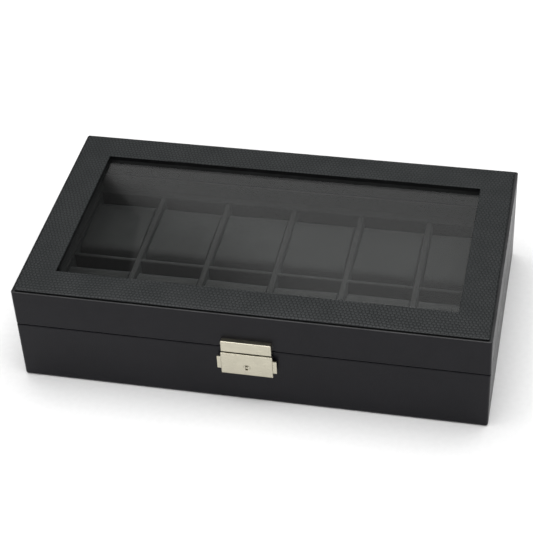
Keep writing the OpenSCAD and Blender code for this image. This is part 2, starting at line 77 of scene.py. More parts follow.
def waves(co, size, seed):
    """Slow unevenness from -1 to 1 at each point, with bumps about size metres apart."""
    shift = Vector((seed * 3.1, seed * 7.7, seed * 1.3))
    return np.array([noise.noise(Vector(p) / size + shift) for p in co])


def scale_relief(x, y, cell=(2.7 * MM, 2.6 * MM), jitter=0.3, shape=2.7):
    """Height from 0 in the grooves to 1 on the scales of an embossed reptile grain, at each (x, y)."""
    wx = x + 1.3 * MM * np.sin(y / (19 * MM) + x / (47 * MM))
    wy = y + 1.1 * MM * np.sin(x / (23 * MM) - y / (41 * MM))
    row = np.floor(wy / cell[1])
    nearest = np.full(x.shape, 9.0)
    second = np.full(x.shape, 9.0)
    for dj in (-1, 0, 1):
        r = row + dj
        shift = 0.5 * np.mod(r, 2)
        column = np.floor(wx / cell[0] - shift)
        for di in (-1, 0, 1):
            c = column + di
            cx = c + 0.5 + shift + jitter * (scatter(c, r, 1) - 0.5)
            cy = r + 0.5 + jitter * (scatter(c, r, 2) - 0.5)
            across = np.abs(wx / cell[0] - cx) ** shape + np.abs(wy / cell[1] - cy) ** shape
            away = across ** (1.0 / shape)
            second = np.where(away < nearest, nearest, np.minimum(second, away))
            nearest = np.minimum(nearest, away)
    plateau = smooth_step(second - nearest, 0.02, 0.34)
    return plateau * (1.0 - 0.35 * nearest)


# ---- mesh building ----

def new_piece(name, co, faces):
    """A smooth-shaded mesh object from points and faces."""
    mesh = bpy.data.meshes.new(name)
    mesh.from_pydata(np.asarray(co, float).tolist(), [], faces)
    mesh.update()
    mesh.shade_smooth()
    piece = bpy.data.objects.new(name, mesh)
    bpy.context.scene.collection.objects.link(piece)
    return piece


def finish_piece(piece, node, material):
    """Rides the piece on its node's body in that node's place with the given material, and hides the node."""
    piece.data.materials.clear()
    piece.data.materials.append(material)
    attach(piece, NODE_BODY[node])
    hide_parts(node)
    return piece


def frame_loop(w, d, r, spacing):
    """Points round a rounded rectangle. spacing holds their number on a long side, a short side, a corner."""
    n_x, n_y, n_arc = spacing
    half_x, half_y = w / 2 - r, d / 2 - r
    along_x = np.linspace(-half_x, half_x, n_x, endpoint=False)
    along_y = np.linspace(-half_y, half_y, n_y, endpoint=False)
    turn = np.linspace(0.0, math.pi / 2, n_arc, endpoint=False)
    parts = []
    for quarter, (line, side, cx, cy) in enumerate((
        (along_y, w / 2, half_x, half_y),
        (along_x, d / 2, -half_x, half_y),
        (along_y, w / 2, -half_x, -half_y),
        (along_x, d / 2, half_x, -half_y),
    )):
        a = quarter * math.pi / 2
        out = np.array([math.cos(a), math.sin(a)])
        tangent = np.array([-math.sin(a), math.cos(a)])
        parts.append(side * out + line[:, None] * tangent)
        angles = turn + a
        parts.append(np.column_stack([cx + r * np.cos(angles), cy + r * np.sin(angles)]))
    return np.vstack(parts)


def filleted(corners, step):
    """Closed outline through corners, each (x, z, fillet radius), with points at most step apart."""
    points = []
    n = len(corners)
    for i, (x, z, r) in enumerate(corners):
        p = np.array([x, z])
        before = np.array(corners[i - 1][:2]) - p
        after = np.array(corners[(i + 1) % n][:2]) - p
        before = before / np.linalg.norm(before)
        after = after / np.linalg.norm(after)
        half = math.acos(np.clip(before @ after, -1, 1)) / 2
        t = r / math.tan(half)
        a, b = p + before * t, p + after * t
        middle = (before + after) / np.linalg.norm(before + after)
        centre = p + middle * math.hypot(t, r)
        start = math.atan2(*(a - centre)[::-1])
        sweep = (math.atan2(*(b - centre)[::-1]) - start + math.pi) % (2 * math.pi) - math.pi
        count = max(3, math.ceil(abs(sweep) * r / step) + 1)
        for k in range(count):
            angle = start + sweep * k / (count - 1)
            points.append(centre + r * np.array([math.cos(angle), math.sin(angle)]))
    dense = []
    for i, p in enumerate(points):
        q = points[(i + 1) % len(points)]
        count = max(1, math.ceil(np.linalg.norm(q - p) / step))
        dense += [p + (q - p) * k / count for k in range(count)]
    return np.array(dense)


def swept_frame(name, section, outer, reach, corner, spacing):
    """Closed ring: the section (inset, height) swept round a rounded rectangle. reach is the section's
    full inset across x and across y. Returns the piece and its points as (section, round, xyz)."""
    rows = []
    for inset, z in section:
        w = outer[0] - 2 * inset
        d = outer[1] - 2 * inset * reach[1] / reach[0]
        loop = frame_loop(w, d, max(corner - inset, 0.4 * MM), spacing)
        rows.append(np.column_stack([loop, np.full(len(loop), z)]))
    grid = np.array(rows)
    m, n = grid.shape[:2]
    i, j = np.meshgrid(np.arange(m), np.arange(n), indexing="ij")
    i2, j2 = (i + 1) % m, (j + 1) % n
    faces = np.stack([i * n + j, i * n + j2, i2 * n + j2, i2 * n + j], axis=-1).reshape(-1, 4)
    piece = new_piece(name, grid.reshape(-1, 3), faces.tolist())
    return piece, grid


def rounded_box(name, low, high, radius, step):
    """Closed box with rounded edges. Its points lie at most about step apart."""
    axes = []
    for lo, hi in zip(low, high):
        r = min(radius, (hi - lo) * 0.49)
        edge = [r * (1 - math.tan(a)) for a in np.radians([45, 30, 15, 0])]
        count = max(1, math.ceil((hi - lo - 2 * r) / step))
        inside = np.linspace(lo + r, hi - r, count + 1)
        axes.append(np.concatenate([lo + np.array(edge[:3]), inside, hi - np.array(edge[:3])[::-1]]))
    sizes = [len(a) for a in axes]
    index, co, faces = {}, [], []

    def vertex(ijk):
        if ijk not in index:
            index[ijk] = len(co)
            co.append([axes[a][ijk[a]] for a in range(3)])
        return index[ijk]

    for axis in range(3):
        u, v = (axis + 1) % 3, (axis + 2) % 3
        for end in (0, sizes[axis] - 1):
            for i in range(sizes[u] - 1):
                for j in range(sizes[v] - 1):
                    ring = [(i, j), (i + 1, j), (i + 1, j + 1), (i, j + 1)]
                    if end == 0:
                        ring.reverse()
                    face = []
                    for a, b in ring:
                        ijk = [0, 0, 0]
                        ijk[axis], ijk[u], ijk[v] = end, a, b
                        face.append(vertex(tuple(ijk)))
                    faces.append(face)
    co = np.array(co)
    low, high = np.array(low), np.array(high)
    r = np.minimum(radius, (high - low) * 0.49)
    inner = np.clip(co, low + r, high - r)
    out = (co - inner) / r
    length = np.maximum(np.linalg.norm(out, axis=1, keepdims=True), 1e-9)
    return new_piece(name, inner + out / length * r, faces)


def push_out(piece, amount):
    """Moves each point along its own normal by amount metres."""
    normals = np.empty(len(piece.data.vertices) * 3)
    piece.data.vertices.foreach_get("normal", normals)
    set_points(piece, points_of(piece) + normals.reshape(-1, 3) * np.reshape(amount, (-1, 1)))


def points_of(piece):
    """The piece's points as rows of x, y and z."""
    co = np.empty(len(piece.data.vertices) * 3)
    piece.data.vertices.foreach_get("co", co)
    return co.reshape(-1, 3)


def set_points(piece, co):
    piece.data.vertices.foreach_set("co", co.ravel())
    piece.data.update()


def evaluated_mesh(obj):
    """The mesh that obj shows with its modifiers, as a new mesh."""
    graph = bpy.context.evaluated_depsgraph_get()
    return bpy.data.meshes.new_from_object(obj.evaluated_get(graph))


# ---- shader nodes ----

def feed(tree, socket, value):
    """Sets the socket to value, or links value to it where value is another node's output."""
    if isinstance(value, bpy.types.NodeSocket):
        tree.links.new(value, socket)
    else:
        socket.default_value = value


def maths(tree, operation, a, b):
    """The result of a maths node. Each of a and b is a number or a socket."""
    node = tree.nodes.new("ShaderNodeMath")
    node.operation = operation
    feed(tree, node.inputs[0], a)
    feed(tree, node.inputs[1], b)
    return node.outputs["Value"]


def ramp(tree, value, ends, kind="LINEAR"):
    """A clamped rise from ends[2] to ends[3] as value goes from ends[0] to ends[1]. Ends may be sockets."""
    node = tree.nodes.new("ShaderNodeMapRange")
    node.interpolation_type = kind
    tree.links.new(value, node.inputs["Value"])
    for socket, end in zip(("From Min", "From Max", "To Min", "To Max"), ends):
        feed(tree, node.inputs[socket], end)
    return node.outputs["Result"]


# ---- materials ----

class Shader:
    """A material with a Principled shader, and short ways to add the nodes that feed it."""

    def __init__(self, name, colour, roughness, **constants):
        self.material = bpy.data.materials.new(name)
        self.material.use_nodes = True
        self.tree = self.material.node_tree
        self.bsdf = self.tree.nodes["Principled BSDF"]
        self.output = self.tree.nodes["Material Output"]
        self.bsdf.inputs["Base Color"].default_value = (*colour, 1.0)
        self.bsdf.inputs["Roughness"].default_value = roughness
        for socket, value in constants.items():
            self.bsdf.inputs[socket.replace("_", " ")].default_value = value
        self.coordinates = self.add("ShaderNodeTexCoord").outputs["Object"]
        self.normal = None

    def add(self, kind, **settings):
        node = self.tree.nodes.new(kind)
        for key, value in settings.items():
            setattr(node, key, value)
        return node

    def link(self, source, target):
        self.tree.links.new(source, target)

    def stretched(self, stretch):
        """The object's coordinates, times a factor for each axis."""
        mapping = self.add("ShaderNodeMapping")
        mapping.inputs["Scale"].default_value = stretch
        self.link(self.coordinates, mapping.inputs["Vector"])
        return mapping.outputs["Vector"]

    def noise(self, size, detail=3.0, roughness=0.5, stretch=None):
        """Noise with features about size metres across."""
        node = self.add("ShaderNodeTexNoise")
        node.inputs["Scale"].default_value = 1.0 / size
        node.inputs["Detail"].default_value = detail
        node.inputs["Roughness"].default_value = roughness
        vector = self.coordinates if stretch is None else self.stretched(stretch)
        self.link(vector, node.inputs["Vector"])
        return node.outputs["Fac"]

    def cells(self, size):
        """The distance from the edges of Voronoi cells about size metres across."""
        node = self.add("ShaderNodeTexVoronoi", feature="DISTANCE_TO_EDGE")
        node.inputs["Scale"].default_value = 1.0 / size
        self.link(self.coordinates, node.inputs["Vector"])
        return node.outputs["Distance"]

    def remap(self, value, low, high, to_low=0.0, to_high=1.0):
        """A smooth rise from to_low to to_high as value goes from low to high. Each end may be a socket."""
        return ramp(self.tree, value, (low, high, to_low, to_high), "SMOOTHSTEP")

    def mix_colour(self, factor, a, b):
        """Colour a where factor is 0 and b where it is 1. Each is a colour or a socket."""
        node = self.add("ShaderNodeMix", data_type="RGBA")
        self.link(factor, node.inputs["Factor"])
        for socket, value in ((node.inputs[6], a), (node.inputs[7], b)):
            feed(self.tree, socket, (*value, 1.0) if isinstance(value, tuple) else value)
        return node.outputs[2]

    def bump(self, height, depth, strength=1.0):
        """Adds a bump of depth metres to those already there."""
        node = self.add("ShaderNodeBump")
        node.inputs["Strength"].default_value = strength
        node.inputs["Distance"].default_value = depth
        self.link(height, node.inputs["Height"])
        if self.normal is not None:
            self.link(self.normal, node.inputs["Normal"])
        self.normal = node.outputs["Normal"]
        self.link(self.normal, self.bsdf.inputs["Normal"])

    def colour(self, socket):
        self.link(socket, self.bsdf.inputs["Base Color"])

    def roughness(self, socket):
        self.link(socket, self.bsdf.inputs["Roughness"])

    def facing_up(self, upright, level, slopes=(0.25, 0.9)):
        """The value upright on faces that stand, the value level on faces that look up, blended between."""
        split = self.add("ShaderNodeSeparateXYZ")
        self.link(self.add("ShaderNodeTexCoord").outputs["Normal"], split.inputs["Vector"])
        return self.remap(split.outputs["Z"], *slopes, upright, level)

    def scaled(self, colour, factor):
        """The colour times a number."""
        node = self.add("ShaderNodeVectorMath", operation="SCALE")
        self.link(colour, node.inputs["Vector"])
        self.link(factor, node.inputs["Scale"])
        return node.outputs["Vector"]


def side_leather():
    """Smooth leather with a fine pebble grain. The up-facing faces of the bead along the lid's top edge carry
    a painted highlight: a much paler colour where light falls on them.
    """
    s = Shader("side_leather", (0.005, 0.005, 0.006), 0.36, Specular_IOR_Level=0.18)
    patches = s.remap(s.noise(30 * MM, 4.0), 0.3, 0.7)
    tone = s.mix_colour(patches, (0.0036, 0.0034, 0.0054), (0.0050, 0.0047, 0.0070))
    # painted highlight: a colour about ten times paler than the leather, for the up-facing faces of the lid's
    # top bead
    painted_bead_highlight = s.mix_colour(patches, (0.034, 0.034, 0.035), (0.050, 0.050, 0.051))
    place = s.add("ShaderNodeSeparateXYZ")
    s.link(s.coordinates, place.inputs["Vector"])
    on_bead = s.remap(place.outputs["Z"], 70 * MM, 74 * MM)
    s.colour(s.mix_colour(s.facing_up(0.0, on_bead), tone, painted_bead_highlight))
    s.roughness(s.remap(s.noise(12 * MM, 4.0), 0.25, 0.75, 0.31, 0.40))
    s.bump(s.remap(s.cells(1.1 * MM), 0.0, 0.22), 0.05 * MM, 0.6)
    s.bump(s.noise(0.4 * MM, 2.0), 0.02 * MM, 0.5)
    s.bump(s.noise(30 * MM, 1.0), 0.6 * MM, 0.15)
    return s.material


def top_leather():
    """Embossed leather. The relief attribute, 0 in the grooves and 1 on the scales, sets the gloss and a
    painted shade: near-black in the grooves, the leather's own tone on the scales.
    """
    s = Shader("top_leather", (0.016, 0.018, 0.019), 0.42, Specular_IOR_Level=0.2)
    relief = s.add("ShaderNodeAttribute", attribute_name="relief").outputs["Fac"]
    patches = s.remap(s.noise(20 * MM, 3.0), 0.3, 0.7)
    crest = s.mix_colour(patches, (0.0185, 0.0208, 0.0214), (0.0252, 0.0275, 0.0282))
    # painted shade: the grooves between the scales are coloured near-black, standing in for the shade that
    # falls in them
    s.colour(s.mix_colour(s.remap(relief, 0.05, 0.7), (0.0020, 0.0026, 0.0028), crest))
    s.roughness(s.remap(relief, 0.0, 0.8, 0.62, 0.38))
    s.bump(s.noise(0.35 * MM, 2.0), 0.03 * MM, 0.5)
    return s.material


def edge_leather():
    """The near-black strip round the window."""
    s = Shader("edge_leather", (0.0015, 0.0015, 0.002), 0.6, Specular_IOR_Level=0.1)
    patches = s.remap(s.noise(6 * MM), 0.35, 0.65)
    s.colour(s.mix_colour(patches, (0.0010, 0.0010, 0.0013), (0.0022, 0.0022, 0.0026)))
    s.bump(s.cells(0.9 * MM), 0.05 * MM, 0.6)
    return s.material


def velvet(name, dark, light, sheen, upright, slopes=(0.25, 0.9)):
    """Short pile: patches where it lies another way, fine fibres and a pale sheen at grazing angles. Its
    standing faces carry painted
    shade: they are darker by the factor upright, and slopes gives the range of upward facing over which the
    painted shade fades out."""
    s = Shader(name, light, 0.92, Specular_IOR_Level=0.1, Sheen_Weight=sheen, Sheen_Roughness=0.5)
    s.bsdf.inputs["Sheen Tint"].default_value = (0.86, 0.88, 0.92, 1.0)
    brushed = s.remap(s.noise(14 * MM, 2.0, 0.5, (1.0, 0.55, 1.0)), 0.3, 0.7)
    patches = s.mix_colour(brushed, dark, light)
    fibres = s.remap(s.noise(0.4 * MM, 2.0, 0.6), 0.25, 0.75)
    worn = tuple(0.2 * a + 0.8 * b for a, b in zip(dark, light))
    pile = s.mix_colour(fibres, s.mix_colour(brushed, dark, worn), patches)
    # painted shade: standing faces darker by the factor upright, faces that look up keep the full colour
    s.colour(s.scaled(pile, s.facing_up(upright, 1.0, slopes)))
    s.roughness(s.remap(s.noise(8 * MM), 0.3, 0.7, 0.86, 0.97))
    s.bump(s.noise(0.4 * MM, 2.0, 0.6), 0.01 * MM, 0.2)
    s.bump(s.noise(9 * MM, 1.0), 0.4 * MM, 0.15)
    return s.material


def felt():
    s = Shader("bottom_felt", (0.02, 0.02, 0.022), 0.97, Specular_IOR_Level=0.1, Sheen_Weight=0.2)
    tufts = s.remap(s.noise(0.9 * MM, 4.0, 0.7), 0.3, 0.7)
    s.colour(s.mix_colour(tufts, (0.011, 0.011, 0.012), (0.03, 0.03, 0.032)))
    s.bump(s.noise(0.7 * MM, 4.0, 0.75), 0.3 * MM, 0.9)
    return s.material


def fibreboard(name, dark, light):
    s = Shader(name, light, 0.8)
    specks = s.remap(s.noise(0.8 * MM, 4.0, 0.7), 0.3, 0.7)
    s.colour(s.mix_colour(specks, dark, light))
    s.bump(s.noise(0.6 * MM, 3.0), 0.1 * MM, 0.6)
    return s.material


def plated_metal(name, colour, roughness):
    """Satin plating, brushed along X."""
    s = Shader(name, colour, roughness, Metallic=1.0)
    streaks = s.noise(0.3 * MM, 3.0, 0.6, (0.04, 1.0, 1.0))
    dull = tuple(c * 0.95 for c in colour)
    s.colour(s.mix_colour(s.remap(s.noise(8 * MM, 2.0), 0.35, 0.65), dull, colour))
    s.roughness(s.remap(streaks, 0.25, 0.75, roughness * 0.85, roughness * 1.2))
    s.bump(streaks, 0.006 * MM, 0.3)
    return s.material


def clear_glass():
    """Clear float glass. Lamps shine through it on to what it covers."""
    s = Shader("window_glass", (0.965, 0.985, 0.975), 0.0, Transmission_Weight=1.0, IOR=1.5)
    s.roughness(s.remap(s.noise(50 * MM, 2.0), 0.45, 0.75, 0.0, 0.006))
    clear = s.add("ShaderNodeBsdfTransparent")
    clear.inputs["Color"].default_value = (0.9, 0.93, 0.92, 1.0)
    path = s.add("ShaderNodeLightPath")
    mix = s.add("ShaderNodeMixShader")
    s.link(path.outputs["Is Shadow Ray"], mix.inputs["Fac"])
    s.link(s.bsdf.outputs["BSDF"], mix.inputs[1])
    s.link(clear.outputs["BSDF"], mix.inputs[2])
    s.link(mix.outputs["Shader"], s.output.inputs["Surface"])
    return s.material


MATERIALS = {
    "board": fibreboard("fibreboard", (0.32, 0.22, 0.13), (0.5, 0.37, 0.24)),
    # near-black board: painted shade for the frame board seen through the glass
    "shade_painted_board": fibreboard("shade_painted_board", (0.004, 0.004, 0.005), (0.010, 0.010, 0.011)),
    "side_leather": side_leather(),
    "top_leather": top_leather(),
    "edge_leather": edge_leather(),
    "bottom_felt": felt(),
    # the last number of each velvet is the painted-shade factor on its standing faces: painted shade on the
    # lining's walls, the dividers' sides and, over a steeper range of slopes, the cushions' sides and ends
    "lining_velvet": velvet(
        "lining_velvet", (0.060, 0.0585, 0.060), (0.072, 0.0705, 0.072), 0.05, 0.28
    ),
    "divider_velvet": velvet(
        "divider_velvet", (0.0165, 0.0161, 0.0161), (0.0200, 0.0194, 0.0194), 0.05, 0.15
    ),
    "cushion_velvet": velvet(
        "cushion_velvet", (0.0172, 0.0168, 0.0168), (0.0214, 0.0209, 0.0209), 0.06, 0.2, (0.7, 1.0)
    ),
    "window_glass": clear_glass(),
    "hinge_steel": plated_metal("hinge_steel", (0.62, 0.60, 0.56), 0.3),
    "lock_metal": plated_metal("lock_metal", (0.535, 0.505, 0.408), 0.3),
    "spring_steel": plated_metal("spring_steel", (0.55, 0.55, 0.56), 0.25),
}


# ---- leather top panel ----

LIP = 0.8 * MM
TURNED_LEATHER = 0.4 * MM
MESH_STEP = 0.45 * MM
GROOVE = 0.26 * MM
PADDING_DIP = 0.12 * MM
SPARSE = 23


def padded_top():
    """The embossed panel: a crowned ring with real scales. Its outer edge rolls under, above the channel,
    and its inner edge laps over the window's edge strip."""
    low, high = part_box("lid_top_cover")
    strip_low, strip_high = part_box("window_edge_strip")
    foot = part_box("lid_top_frame")[1].z + TURNED_LEATHER
    outer = (high.x - low.x, high.y - low.y)
    board = (outer[0] - (strip_high.x - strip_low.x)) / 2
    reach = (board + LIP, (outer[1] - (strip_high.y - strip_low.y)) / 2 + LIP)
    section = filleted([
        (0.0, high.z, 1.2 * MM), (reach[0], high.z, 0.55 * MM),
        (reach[0], strip_high.z, 0.1 * MM), (board, strip_high.z, 0.05 * MM),
        (board, foot, 0.2 * MM), (0.0, foot, 1.1 * MM),
    ], 0.42 * MM)
    corner = 1.6 * MM
    spacing = (round(outer[0] / MESH_STEP), round(outer[1] / MESH_STEP), 12)
    piece, grid = swept_frame("top_panel_leather", section, outer, reach, corner, spacing)
    across = (section[:, 0] / reach[0] * 2 - 1)[:, None]
    upper = smooth_step(section[:, 1], high.z - 1.1 * MM, high.z - 0.2 * MM)[:, None]
    facing = upper * smooth_step(1.0 - np.abs(across), 0.0, 0.07)
    relief = scale_relief(grid[..., 0], grid[..., 1])
    sag = np.where(across < 0, 0.3, 0.12) * MM * np.abs(across) ** 3 * upper
    grid[..., 2] -= sag + GROOVE * (1.0 - relief) * (0.25 + 0.75 * facing) * upper
    flat = grid.reshape(-1, 3)
    uneven = waves(flat[::SPARSE], 0.03, 5)
    soft = np.interp(np.arange(len(flat)), np.arange(0, len(flat), SPARSE), uneven)
    grid[..., 2] -= PADDING_DIP * (0.5 + 0.5 * soft.reshape(relief.shape)) * upper
    set_points(piece, grid)
    attribute = piece.data.attributes.new("relief", "FLOAT", "POINT")
    attribute.data.foreach_set("value", (relief * upper).ravel().astype(np.float32))
    piece.data.update()
    return finish_piece(piece, "lid_top_cover", MATERIALS["top_leather"])


# ---- velvet-covered boards ----

LONG_DIVIDER_DROP = 0.35 * MM
RING_STEP = 2.6 * MM
BOARDS = [
    "floor_lining", "base_lining_front", "base_lining_rear", "base_lining_left", "base_lining_right",
    "insert_front_rail", "insert_rear_rail", "insert_left_rail", "insert_right_rail", "long_divider",
    *sorted(n for n in NODES if n.startswith("cross_divider_")),
]


def wrapped_board(node, seed):
    """A board with velvet drawn over it: soft edges and a slightly uneven face."""
    low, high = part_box(node)
    if node == "long_divider":
        high.z -= LONG_DIVIDER_DROP
    stiff = node.startswith("base_lining")
    radius = 0.3 * MM if stiff else min(1.5 * MM, min(high - low) * 0.45)
    hollow = 0.05 * MM if stiff else 0.16 * MM
    piece = rounded_box(node + "_velvet", low, high, radius, 2.4 * MM)
    co = points_of(piece)
    push_out(piece, -hollow * (0.5 + 0.5 * waves(co, 0.009, seed)))
    return finish_piece(piece, node, MATERIALS[NODE_SLOT[node]])


def lined_ring(name, node, section):
    """A velvet-covered ring that follows the inside of the lid."""
    low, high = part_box(node)
    outer = (high.x - low.x, high.y - low.y)
    spacing = (round(outer[0] / RING_STEP), round(outer[1] / RING_STEP), 2)
    piece, grid = swept_frame(name, section, outer, (1.0, 1.0), 0.5 * MM, spacing)
    push_out(piece, -0.12 * MM * (0.5 + 0.5 * waves(grid.reshape(-1, 3), 0.01, 3)))
    return finish_piece(piece, node, MATERIALS[NODE_SLOT[node]])


def lid_linings():
    """The lining round the inside of the lid, and the ring that holds the glass."""
    low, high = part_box("lid_lining")
    thick = 0.8 * MM
    lining = filleted([
        (0.0, low.z, 0.2 * MM), (0.0, high.z, 0.2 * MM), (thick, high.z, 0.2 * MM), (thick, low.z, 0.4 * MM),
    ], 2.0 * MM)
    lined_ring("lid_lining_velvet", "lid_lining", lining)
    low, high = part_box("glass_retainer")
    lip = high.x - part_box("window_glass")[1].x + 5.5 * MM
    retainer = filleted([
        (0.0, low.z, 0.4 * MM), (0.0, high.z, 0.4 * MM), (lip, high.z, 0.5 * MM), (lip, low.z, 1.4 * MM),
    ], 1.6 * MM)
    lined_ring("glass_retainer_velvet", "glass_retainer", retainer)


# ---- cushions ----

SIM_SCALE = 10.0
FRAMES = 20
START_SIZE = (0.955, 0.965, 0.86)
VOXEL = 22 * MM
SWELL_LIMIT = 2.6 * MM * SIM_SCALE
FULLNESS = (3.5, 1.5, 2.0)
END_ROUND = 11 * MM


def fill_with_air(piece):
    """Swells the piece by cloth pressure. The result is in its mesh, and no Cloth is left on it."""
    cloth = piece.modifiers.new("cloth", "CLOTH")
    cloth.settings.quality = 6
    cloth.settings.mass = 0.3
    cloth.settings.use_pressure = True
    cloth.settings.uniform_pressure_force = 4.0
    cloth.settings.shrink_min = -0.02
    cloth.settings.effector_weights.gravity = 0.0
    cloth.settings.tension_stiffness = 18.0
    cloth.settings.compression_stiffness = 18.0
    cloth.settings.bending_stiffness = 0.6
    cloth.point_cache.frame_end = FRAMES
    scene = bpy.context.scene
    for f in range(1, FRAMES + 1):
        scene.frame_set(f)
    filled = evaluated_mesh(piece)
    piece.modifiers.clear()
    piece.data = filled
    scene.frame_set(1)


def inflated_cushion(size, seed):
    """Points, from -1 to 1 each way, and faces of a sewn cushion of that size, filled by pressure."""
    half = np.array(size) / 2 * SIM_SCALE
    start = half * np.array(START_SIZE)
    raw = rounded_box("cushion_start", -start, start, 0.03, 0.02)
    remesh = raw.modifiers.new("remesh", "REMESH")
    remesh.mode = "VOXEL"
    remesh.voxel_size = VOXEL
    raw.data = evaluated_mesh(raw)
    raw.modifiers.clear()
    co = points_of(raw)
    co += 0.004 * np.column_stack([waves(co, 0.12, seed + axis) for axis in range(3)])
    set_points(raw, co)
    fill_with_air(raw)
    moved = points_of(raw) - co
    length = np.maximum(np.linalg.norm(moved, axis=1, keepdims=True), 1e-9)
    set_points(raw, co + moved * np.minimum(1.0, SWELL_LIMIT / length))
    smooth = raw.modifiers.new("smooth", "SUBSURF")
    smooth.levels = smooth.render_levels = 1
    raw.data = evaluated_mesh(raw)
    raw.modifiers.clear()
    co = points_of(raw)
    faces = [list(p.vertices) for p in raw.data.polygons]
    bpy.data.objects.remove(raw)
    middle = (co.max(0) + co.min(0)) / 2
    co = (co - middle) / (co.max(0) - co.min(0)) * 2
    return co, faces


def shaped_cushion(co, size, seed):
    """The unit cushion at its real size, rounded down at its ends, with tucks where the velvet is folded."""
    half = np.array(size) / 2
    u = np.sign(co) * (1.0 - (1.0 - np.abs(np.clip(co, -1.0, 1.0))) ** np.array(FULLNESS))
    p = u * half
    end = smooth_step(np.abs(u[:, 1]), 0.86, 0.98)
    fold = np.exp(-((np.abs(u[:, 0]) - 0.18 - 0.55 * np.abs(u[:, 2])) / 0.055) ** 2)
    p[:, 1] -= np.sign(u[:, 1]) * end * fold * 0.7 * MM
    side = smooth_step(np.abs(u[:, 0]), 0.8, 1.0)
    p[:, 0] -= np.sign(u[:, 0]) * side * 0.5 * MM * (0.5 + 0.5 * waves(p, 0.014, seed + 7))
    past = np.clip(np.abs(p[:, 1]) - (half[1] - END_ROUND), 0.0, END_ROUND)
    fall = END_ROUND - np.sqrt(END_ROUND ** 2 - past ** 2)
    p[:, 2] *= np.where(p[:, 2] > 0, 1.0 - fall / half[2], 1.0)
    top = smooth_step(u[:, 2], 0.2, 0.9)
    p[:, 2] -= top * 0.5 * MM * (0.5 + 0.5 * waves(p, 0.016, seed + 9))
    return p


def cushions():
    """Twelve cushions from three simulated ones, each turned and creased its own way."""
    names = sorted(n for n in NODES if n.startswith("cushion_"))
    low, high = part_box(names[0])
    size = high - low
    models = [inflated_cushion(size, 11 * (k + 1)) for k in range(3)]
    for i, node in enumerate(names):
        co, faces = models[i % 3]
        flip = np.array([1.0 if i % 2 else -1.0, 1.0 if (i // 2) % 2 else -1.0, 1.0])
        p = shaped_cushion(co * flip, size, i)
        low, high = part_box(node)
        turn = Euler((0.0, 0.0, math.radians(0.9 * math.sin(2.3 * i + 0.7)))).to_matrix()
        centre = np.array((low + high) / 2)
        centre[:2] += 0.25 * MM * np.array([math.sin(1.9 * i), math.cos(3.1 * i)])
        p = p @ np.array(turn).T + centre
        loops = faces if flip[0] * flip[1] > 0 else [f[::-1] for f in faces]
        piece = new_piece(node + "_velvet", p, loops)
        finish_piece(piece, node, MATERIALS["cushion_velvet"])


# ---- lock springs ----

def lock_coils():
    """The two springs under the lock cover, with closed end turns, made at one length; the real springs
    shorten as the cover slides down.
    """
    node = "lock_springs"
    wire_r, coil_r = 0.15 * MM, 0.65 * MM
    turns, steps, around = 8, 28, 10
    low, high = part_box(node)
    length = high.z - low.z
    closed = 2.1 * wire_r
    along = np.linspace(0.0, turns, turns * steps + 1)
    climb = [0.0, closed, length - 2 * wire_r - closed, length - 2 * wire_r]
    rise = wire_r + np.interp(along, [0.0, 1.0, turns - 1.0, float(turns)], climb)
    turn = 2 * math.pi * along[:, None]
    section = np.linspace(0.0, 2 * math.pi, around, endpoint=False)[None, :]
    reach = coil_r + wire_r * np.cos(section)
    tall = rise[:, None] + wire_r * np.sin(section)
    coil = np.stack([reach * np.cos(turn), reach * np.sin(turn), tall], axis=2).reshape(-1, 3)
    co, faces = [], []
    for middle_x in (low.x + coil_r + wire_r, high.x - coil_r - wire_r):
        first = len(co)
        co.extend(coil + np.array([middle_x, (low.y + high.y) / 2, low.z]))
        for i in range(len(along) - 1):
            for j in range(around):
                a = first + i * around + j
                b = first + i * around + (j + 1) % around
                faces.append((a, a + around, b + around, b))
        last = first + (len(along) - 1) * around
        faces.append(tuple(range(first, first + around)))
        faces.append(tuple(range(last + around - 1, last - 1, -1)))
    piece = new_piece("lock_coils", co, faces)
    finish_piece(piece, node, MATERIALS["spring_steel"])
    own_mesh(piece)


# ---- CAD nodes that stay ----

# the width of the broken edges in millimetres, by slot
EASED = {"lock_metal": 0.12, "hinge_steel": 0.12, "edge_leather": 0.25, "bottom_felt": 0.3}


def dress_node(node):
    """Gives a CAD node its material, smooth shading and softly broken edges."""
    obj = NODES[node]
    slot = NODE_SLOT[node]
    obj.data.materials.clear()
    # painted shade: the frame board seen through the glass gets a near-black board material in place of its
    # own, standing in for the shade on its inner face
    seen_through_glass = node == "lid_top_frame"
    obj.data.materials.append(MATERIALS["shade_painted_board" if seen_through_glass else slot])
    if slot in EASED:
        bevel = obj.modifiers.new("eased_edges", "BEVEL")
        bevel.width = EASED[slot] * MM
        bevel.segments = 2
        bevel.limit_method = "ANGLE"
        bevel.angle_limit = math.radians(50)
        bevel.harden_normals = False
    obj.data.shade_smooth()
    smooth = obj.modifiers.new("smooth_by_angle", "WEIGHTED_NORMAL")
    smooth.keep_sharp = True


# ---- stage ----

def panel(name, size, place, aim, radiance):
    """A soft light panel of that radiance, facing aim. An area light's radiance is power / (pi * area)."""
    light = bpy.data.lights.new(name, "AREA")
    light.shape = "RECTANGLE"
    light.size, light.size_y = size
    light.energy = radiance * math.pi * size[0] * size[1]
    lamp = bpy.data.objects.new(name, light)
    bpy.context.scene.collection.objects.link(lamp)
    lamp.location = place
    lamp.rotation_euler = (Vector(place) - Vector(aim)).to_track_quat("Z", "Y").to_euler()
    lamp.visible_camera = False
    lamp.visible_transmission = False
    return lamp


